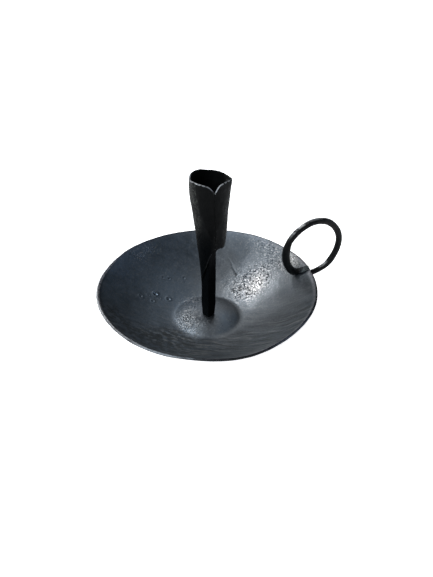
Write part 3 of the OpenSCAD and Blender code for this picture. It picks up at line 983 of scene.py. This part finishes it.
def pan_material():
    k = Nodes("pan_blue_scale")
    b = k.bsdf
    pits_and_glints, rubbed_and_lit, brushed = k.attr("pits_and_glints"), k.attr("rubbed_and_lit"), k.attr("brushed")
    mottled, blue, hole = k.attr("mottled"), k.attr("blue"), k.attr("hole")

    # brush marks: straight, a little wavy, long along the stroke and short across it
    wave = k.math("ADD", k.math("MULTIPLY_ADD", k.noise(k.mm, 0.09, 2, 0.5), 4.5, -2.25),
                  k.math("MULTIPLY_ADD", k.noise(k.mm, 0.03, 1, 0.5), 12.0, -6.0))
    across = k.math("ADD", k.vec("DOT_PRODUCT", k.mm, (*ACROSS, 0.0)), wave)
    along = k.vec("DOT_PRODUCT", k.mm, (*ALONG, 0.0))

    def strokes(ka, kl, detail, rough, shift=0.0):
        return k.noise(k.join(k.math("MULTIPLY", across, ka), k.math("MULTIPLY", along, kl),
                              shift), 1.0, detail, rough)
    broad = strokes(0.22, 0.035, 3, 0.6)
    lines = strokes(0.44, 0.050, 3, 0.6, 7.0)
    hair = strokes(0.90, 0.070, 3, 0.7, 3.0)
    big = k.noise(k.mm, 0.035, 3, 0.5)
    mid = k.noise(k.mm, 0.16, 5, 0.6)
    spot = k.noise(k.mm, 0.42, 3, 0.6)
    grain = k.noise(k.mm, 0.74, 3, 0.62, 0.3)
    grain2 = k.noise(k.vec("ADD", k.mm, (40.0, 9.0, 2.0)), 0.80, 2, 0.5)
    # the scale itself
    col = k.mixc(k.band(big, 0.36, 0.64), (0.102, 0.118, 0.136), (0.122, 0.136, 0.150))
    col = k.mixc(k.math("MULTIPLY", blue, 0.9), col,
                 k.mixc(k.band(mid, 0.35, 0.65), (0.086, 0.119, 0.158), (0.097, 0.130, 0.170)))
    col = k.mixc(k.band(spot, 0.38, 0.66, 0.0, 0.25), col, (0.145, 0.158, 0.168))
    # brushing: broad shades, thin wavy lines and hairs
    dk = k.math("MULTIPLY", k.band(broad, 0.38, 0.52, 1.0, 0.0), brushed)
    col = k.mixc(k.math("MULTIPLY", dk, 0.45), col, (0.062, 0.067, 0.069))
    dl = k.math("MULTIPLY", k.band(lines, 0.36, 0.47, 1.0, 0.0), brushed)
    col = k.mixc(k.math("MULTIPLY", dl, 0.80), col, (0.034, 0.038, 0.040))
    lt = k.math("MULTIPLY", k.band(lines, 0.54, 0.62), brushed)
    col = k.mixc(k.math("MULTIPLY", lt, 0.68), col, (0.26, 0.27, 0.27))
    hr = k.math("MULTIPLY", k.band(hair, 0.54, 0.66), k.math("MULTIPLY_ADD", brushed, 0.30, 0.05))
    col = k.mixc(hr, col, (0.22, 0.225, 0.225))
    dash = strokes(0.70, 0.11, 2, 0.6, 11.0)
    dm = k.math("MULTIPLY", brushed, k.band(k.attr("mottled"), 0.0, 0.5, 0.25, 1.0))
    col = k.mixc(k.math("MULTIPLY", k.math("MULTIPLY", dm, k.band(dash, 0.37, 0.43, 1.0, 0.0)), 0.72),
                 col, (0.032, 0.036, 0.038))
    col = k.mixc(k.math("MULTIPLY", k.math("MULTIPLY", dm, k.band(dash, 0.57, 0.63)), 0.50),
                 col, (0.25, 0.26, 0.26))
    # mottled, darker and a little green where the old scale is thick
    blot = k.noise(k.mm, 0.26, 4, 0.65)
    mo = k.math("MULTIPLY", mottled, k.band(blot, 0.46, 0.54))
    col = k.mixc(k.math("MULTIPLY", mo, 0.80), col, (0.044, 0.051, 0.052))
    mo2 = k.math("MULTIPLY", mottled, k.band(blot, 0.38, 0.44, 1.0, 0.0))
    col = k.mixc(k.math("MULTIPLY", mo2, 0.3), col, (0.19, 0.205, 0.20))
    # rubbed lighter between the pits, with a painted highlight where the light falls on the wall and
    # the boss
    col = k.mixc(k.math("MULTIPLY", rubbed_and_lit, 0.85), col, (0.30, 0.303, 0.304))
    # pits: small dark grains
    few = k.math("MULTIPLY", k.band(grain2, 0.31, 0.36, 1.0, 0.0), 0.35)
    many = k.math("MULTIPLY", k.band(grain, 0.385, 0.455, 1.0, 0.0),
                  k.band(k.math("MULTIPLY", pits_and_glints, k.band(spot, 0.25, 0.6, 0.6, 1.3)), 0.12, 0.75))
    pits = k.math("MAXIMUM", k.math("MAXIMUM", few, many), hole)
    col = k.mixc(k.math("MULTIPLY", pits, 0.85), col, (0.022, 0.025, 0.029))
    # painted glints: bright specks painted into the colour, strongest where the highlight falls
    painted_glint = k.math("MULTIPLY", k.band(grain, 0.54, 0.62), k.math("MULTIPLY_ADD", pits_and_glints, 0.9, 0.10))
    col = k.mixc(k.math("MULTIPLY", painted_glint, 0.8), col, (0.46, 0.465, 0.47))
    # painted light and shade: the colour is scaled by the patches that lighten or darken it
    painted_light_factor = k.attr("painted_shading")
    col = k.vec("MULTIPLY", col, k.join(painted_light_factor, painted_light_factor, painted_light_factor))
    under = k.attr("under")
    col = k.mixc(k.math("MULTIPLY", under, 0.9), col,
                 k.mixc(k.band(blot, 0.38, 0.62), (0.024, 0.027, 0.030), (0.046, 0.050, 0.054)))
    # painted shade: a dark line inside the rim's top corner
    painted_corner_shade = k.math("MULTIPLY", k.attr("painted_corner_shade"), k.band(mid, 0.25, 0.6, 0.6, 1.0))
    col = k.mixc(k.math("MULTIPLY", painted_corner_shade, 0.85), col, (0.017, 0.019, 0.025))
    # the rim's edge: dark scale, rubbed bright where the table says, the bright part partly a painted
    # highlight
    edge = k.band(k.attr("rim"), 0.30, 0.90)
    chips = k.band(k.noise(k.mm, 0.60, 3, 0.65), 0.36, 0.56, 0.42, 1.0)
    wear_and_sheen = k.math("MULTIPLY", k.attr("wear_and_sheen"), chips)
    ecol = k.mixc(wear_and_sheen, (0.015, 0.017, 0.020), (0.44, 0.45, 0.465))
    col = k.mixc(edge, col, ecol)
    # a rubbed and painted highlight along the rim's inner corner
    ar = k.math("MULTIPLY", k.attr("arris"), k.math("MULTIPLY", chips, 0.9))
    col = k.mixc(ar, col, (0.37, 0.38, 0.41))
    k._in(b.inputs["Base Color"], col)
    # scale on the edge has next to no sheen at a low angle
    dull = k.math("MULTIPLY", edge, k.math("SUBTRACT", 1.0, k.math("MAXIMUM", wear_and_sheen, ar)))
    dull = k.math("MAXIMUM", dull, k.math("MULTIPLY", under, 0.85))
    k._in(b.inputs["Specular Tint"], k.mixc(dull, (1.0, 1.0, 1.0), (0.09, 0.09, 0.10)))
    b.inputs["Metallic"].default_value = 1.0
    rough = k.math("ADD", k.band(mid, 0.3, 0.7, 0.35, 0.40), k.band(hair, 0.3, 0.7, -0.02, 0.03))
    rough = k.math("ADD", rough, k.math("MULTIPLY", brushed, 0.10))
    rough = k.math("ADD", rough, k.math("MULTIPLY", pits, 0.22))
    rough = k.math("SUBTRACT", rough, k.math("MULTIPLY", rubbed_and_lit, 0.10))
    rough = k.math("ADD", rough, k.math("MULTIPLY", under, 0.12))
    rough = k.mixf(edge, rough, k.math("MULTIPLY_ADD", wear_and_sheen, 0.14, 0.36))
    k._in(b.inputs["Roughness"], rough)
    # heights in millimetres
    h = k.math("MULTIPLY", grain, k.math("MULTIPLY_ADD", pits_and_glints, 0.34, 0.05))
    h = k.math("ADD", h, k.math("MULTIPLY", hair, 0.025))
    h = k.math("ADD", h, k.math("MULTIPLY", k.math("MULTIPLY", lines, brushed), 0.16))
    h = k.math("ADD", h, k.math("MULTIPLY", spot, 0.06))
    h = k.math("SUBTRACT", h, k.math("MULTIPLY", pits, 0.045))
    k._in(b.inputs["Normal"], k.bump(h, 1.0, 0.001))
    return k.mat


def socket_material():
    k = Nodes("socket_black_scale")
    b = k.bsdf
    mid = k.noise(k.mm, 0.20, 5, 0.6)
    fine = k.noise(k.mm, 1.3, 4, 0.62)
    long = k.noise(k.vec("MULTIPLY", k.mm, (1.0, 1.0, 0.10)), 1.2, 4, 0.6)
    col = k.mixc(k.band(mid, 0.35, 0.68), (0.0016, 0.0019, 0.0022), (0.0036, 0.0037, 0.0037))
    col = k.mixc(k.band(long, 0.50, 0.75, 0.0, 0.4), col, (0.0060, 0.0062, 0.0064))
    low = k.attr("low")
    col = k.mixc(k.math("MULTIPLY", low, 0.8), col, (0.0004, 0.0008, 0.0011))
    # painted shade inside the socket
    col = k.mixc(k.attr("inner"), col, (0.0004, 0.0006, 0.0007))
    # grains of rubbed metal, in patches and along the seam, and painted light inside the mouth
    d, _ = k.cells(k.mm, 0.95)
    where = k.math("MAXIMUM", k.math("MULTIPLY", k.attr("rubbed_and_lit"),
                                     k.band(k.noise(k.mm, 0.22, 3, 0.6), 0.44, 0.60)),
                   k.math("MULTIPLY", k.attr("seam"), k.band(k.noise(k.mm, 0.6, 2, 0.5), 0.44, 0.56)))
    grain = k.math("MULTIPLY", k.band(d, 0.14, 0.34, 1.0, 0.0),
                   k.band(k.noise(k.vec("ADD", k.mm, (9.0, 5.0, 1.0)), 0.9, 1, 0.5), 0.46, 0.58))
    grain = k.math("MULTIPLY", grain, where)
    # lighter skin where rubbed, and painted light inside the mouth
    rough_skin = k.math("MULTIPLY", k.band(k.attr("rubbed_and_lit"), 0.25, 0.8),
                        k.band(k.noise(k.mm, 0.62, 3, 0.62), 0.44, 0.62))
    col = k.mixc(rough_skin, col, (0.019, 0.020, 0.018))
    col = k.mixc(k.math("MULTIPLY", grain, 0.8), col, (0.12, 0.12, 0.12))
    lip = k.math("MULTIPLY", k.attr("lip"), k.band(k.noise(k.mm, 0.50, 3, 0.65), 0.34, 0.60, 0.30, 1.0))
    # a painted highlight along the wings' lower edges, added to the lip's rubbed edge
    wing = k.math("MULTIPLY", k.attr("wing"), 0.07)
    wear_and_edge_highlight = k.math("MAXIMUM", k.band(lip, 0.20, 0.80), wing)
    col = k.mixc(wear_and_edge_highlight, col, (0.24, 0.25, 0.26))
    k._in(b.inputs["Base Color"], col)
    k._in(b.inputs["Metallic"], k.math("MULTIPLY", wear_and_edge_highlight, 0.9))
    k._in(b.inputs["Roughness"], k.mixf(wear_and_edge_highlight, k.band(mid, 0.3, 0.7, 0.52, 0.64), 0.42))
    k._in(b.inputs["Specular IOR Level"], k.math("MULTIPLY_ADD", low, -0.035, 0.06))
    h = k.math("ADD", k.math("MULTIPLY", fine, 0.07), k.math("MULTIPLY", long, 0.06))
    k._in(b.inputs["Normal"], k.bump(h, 1.0, 0.001))
    return k.mat


def ring_material():
    k = Nodes("ring_black_scale")
    b = k.bsdf
    mid = k.noise(k.mm, 0.30, 5, 0.6)
    fine = k.noise(k.mm, 1.5, 4, 0.62)
    col = k.mixc(k.band(mid, 0.35, 0.68), (0.0010, 0.0011, 0.0013), (0.0036, 0.0038, 0.0042))
    # rubbed metal and a painted highlight on the loop
    rub_and_highlight = k.math("MULTIPLY", k.attr("rub_and_highlight"), k.band(k.noise(k.mm, 0.24, 4, 0.6), 0.38, 0.60))
    col = k.mixc(k.math("MULTIPLY", rub_and_highlight, 0.85), col, (0.28, 0.285, 0.29))
    tg = k.math("MULTIPLY", k.attr("tongue"), k.band(mid, 0.25, 0.6, 0.7, 1.0))
    tg2 = k.band(k.attr("tongue"), 0.5, 1.0)
    col = k.mixc(tg, col, k.mixc(tg2, (0.010, 0.012, 0.016), (0.034, 0.040, 0.042)))
    k._in(b.inputs["Base Color"], col)
    k._in(b.inputs["Metallic"], k.math("MAXIMUM", k.math("MULTIPLY", rub_and_highlight, 0.8),
                                       k.math("MULTIPLY", tg, 0.95)))
    k._in(b.inputs["Roughness"], k.band(mid, 0.3, 0.7, 0.42, 0.54))
    b.inputs["Specular IOR Level"].default_value = 0.07
    h = k.math("ADD", k.math("MULTIPLY", fine, 0.06), k.math("MULTIPLY", mid, 0.12))
    k._in(b.inputs["Normal"], k.bump(h, 1.0, 0.001))
    return k.mat


def rivet_material():
    k = Nodes("rivet_scale")
    b = k.bsdf
    mid = k.noise(k.mm, 0.8, 4, 0.6)
    fine = k.noise(k.mm, 3.0, 4, 0.6)
    col = k.mixc(k.band(mid, 0.35, 0.65), (0.022, 0.026, 0.029), (0.038, 0.044, 0.046))
    col = k.mixc(k.math("MULTIPLY", k.math("SUBTRACT", 1.0, k.attr("head")), 0.8), col,
                 (0.015, 0.016, 0.018))
    k._in(b.inputs["Base Color"], col)
    b.inputs["Metallic"].default_value = 0.95
    k._in(b.inputs["Roughness"], k.band(fine, 0.3, 0.7, 0.36, 0.5))
    k._in(b.inputs["Normal"], k.bump(k.math("MULTIPLY", fine, 0.04), 1.0, 0.001))
    return k.mat


for ob, mat in ((pan, pan_material()), (socket, socket_material()),
                (ring, ring_material()), (rivet, rivet_material())):
    ob.data.materials.append(mat)
    # the hidden CAD nodes keep the same finish, should anyone show them
    for name in ob["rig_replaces"]:
        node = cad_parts[name]
        if node.material_slots:
            for s in node.material_slots:
                s.material = mat


# ---------------------------------------------------------------- floor and light
def floor_material():
    k = Nodes("pale_floor")
    n = k.noise(k.mm, 0.004, 2, 0.5)
    k._in(k.bsdf.inputs["Base Color"], k.mixc(n, (0.86, 0.86, 0.86), (0.88, 0.88, 0.88)))
    k.bsdf.inputs["Roughness"].default_value = 0.9
    k.bsdf.inputs["Specular IOR Level"].default_value = 0.1
    # a light table: the floor glows a little, so shadows on it stay pale
    k.bsdf.inputs["Emission Color"].default_value = (1, 1, 1, 1)
    k.bsdf.inputs["Emission Strength"].default_value = 0.9
    return k.mat


S = 9.0
floor_mesh = bpy.data.meshes.new("floor")
floor_mesh.from_pydata([(-S, -S, 0), (S, -S, 0), (S, S, 0), (-S, S, 0)], [], [(0, 1, 2, 3)])
floor = bpy.data.objects.new("floor", floor_mesh)
bpy.context.scene.collection.objects.link(floor)
floor.data.materials.append(floor_material())

scene = bpy.context.scene
world = bpy.data.worlds.new("studio")
scene.world = world
world.use_nodes = True
wt = world.node_tree
wt.nodes.clear()
wo = wt.nodes.new("ShaderNodeOutputWorld")
lit = wt.nodes.new("ShaderNodeBackground")
lit.inputs[0].default_value = (0.93, 0.96, 1.0, 1)
lit.inputs[1].default_value = 0.02
seen = wt.nodes.new("ShaderNodeBackground")
seen.inputs[0].default_value = (0.93, 0.93, 0.93, 1)
seen.inputs[1].default_value = 1.0
path = wt.nodes.new("ShaderNodeLightPath")
mixw = wt.nodes.new("ShaderNodeMixShader")
wt.links.new(path.outputs["Is Camera Ray"], mixw.inputs[0])
wt.links.new(lit.outputs[0], mixw.inputs[1])
wt.links.new(seen.outputs[0], mixw.inputs[2])
wt.links.new(mixw.outputs[0], wo.inputs[0])


def area(name, az, el, dist, sx, sy, watts, colour=(1, 1, 1), look=(0, 0, 0.03)):
    """A softbox; az is in the camera's terms: 0 to its right, 90 away from it."""
    a, e = (az - 20) * RAD, el * RAD
    d = bpy.data.lights.new(name, "AREA")
    d.shape = "RECTANGLE"
    d.size, d.size_y = sx, sy
    d.energy = watts
    d.color = colour
    o = bpy.data.objects.new(name, d)
    scene.collection.objects.link(o)
    t = Vector(look)
    p = t + dist * Vector((math.cos(a) * math.cos(e), math.sin(a) * math.cos(e), math.sin(e)))
    o.location = p
    o.rotation_euler = (t - p).to_track_quat("-Z", "Y").to_euler()
    return o


area("key_softbox", 128, 53, 1.6, 0.36, 0.36, 7.4)
area("key_softbox_2", 146, 56, 1.6, 0.36, 0.36, 2.5)
area("fill_behind_camera", 225, 38, 1.8, 1.1, 1.1, 38, (0.93, 1.0, 1.07))
area("fill_left", 180, 38, 1.8, 1.1, 1.1, 7.1)
area("fill_right_low", 0, 12, 1.8, 1.1, 1.1, 11.4, (0.87, 1.0, 1.24))
area("back_left_low", 135, 12, 1.8, 1.1, 1.1, 2.9)
area("back_middle", 90, 38, 1.8, 1.1, 1.1, 2.8)
area("back_top", 60, 64, 1.8, 1.1, 1.1, 2.0)
area("back_low", 90, 12, 1.8, 1.1, 1.1, 1.0)
area("front_right", 308, 46, 1.8, 1.1, 1.1, 1.6)

# ---------------------------------------------------------------- camera
PITCH, YAW, ROLL = 0.635574, 0.016106, 0.010375
fwd = np.array([math.sin(YAW) * math.cos(PITCH), math.cos(YAW) * math.cos(PITCH), -math.sin(PITCH)])
rgt = np.array([math.cos(YAW), -math.sin(YAW), 0.0])
upv = np.cross(rgt, fwd)
r2 = math.cos(ROLL) * rgt + math.sin(ROLL) * upv
u2 = -math.sin(ROLL) * rgt + math.cos(ROLL) * upv
turn = np.array([[math.cos(-20 * RAD), -math.sin(-20 * RAD), 0],
                 [math.sin(-20 * RAD), math.cos(-20 * RAD), 0], [0, 0, 1]])
loc = turn @ np.array([0, -387.811, 312.008]) * 0.001
r2, u2, bk = turn @ r2, turn @ u2, turn @ (-fwd)
cam_data = bpy.data.cameras.new("camera")
cam_data.sensor_fit = "AUTO"
cam_data.sensor_width = 36.0
cam_data.lens = 699.995 * 36.0 / 577.0
cam_data.clip_start, cam_data.clip_end = 0.01, 100.0
cam = bpy.data.objects.new("camera", cam_data)
scene.collection.objects.link(cam)
cam.matrix_world = Matrix(((r2[0], u2[0], bk[0], loc[0]), (r2[1], u2[1], bk[1], loc[1]),
                           (r2[2], u2[2], bk[2], loc[2]), (0, 0, 0, 1)))
scene.camera = cam
scene.view_settings.view_transform = "Standard"
scene.view_settings.look = "None"
scene.view_settings.exposure = 0.0
scene.view_settings.gamma = 1.0

bpy.context.view_layer.update()
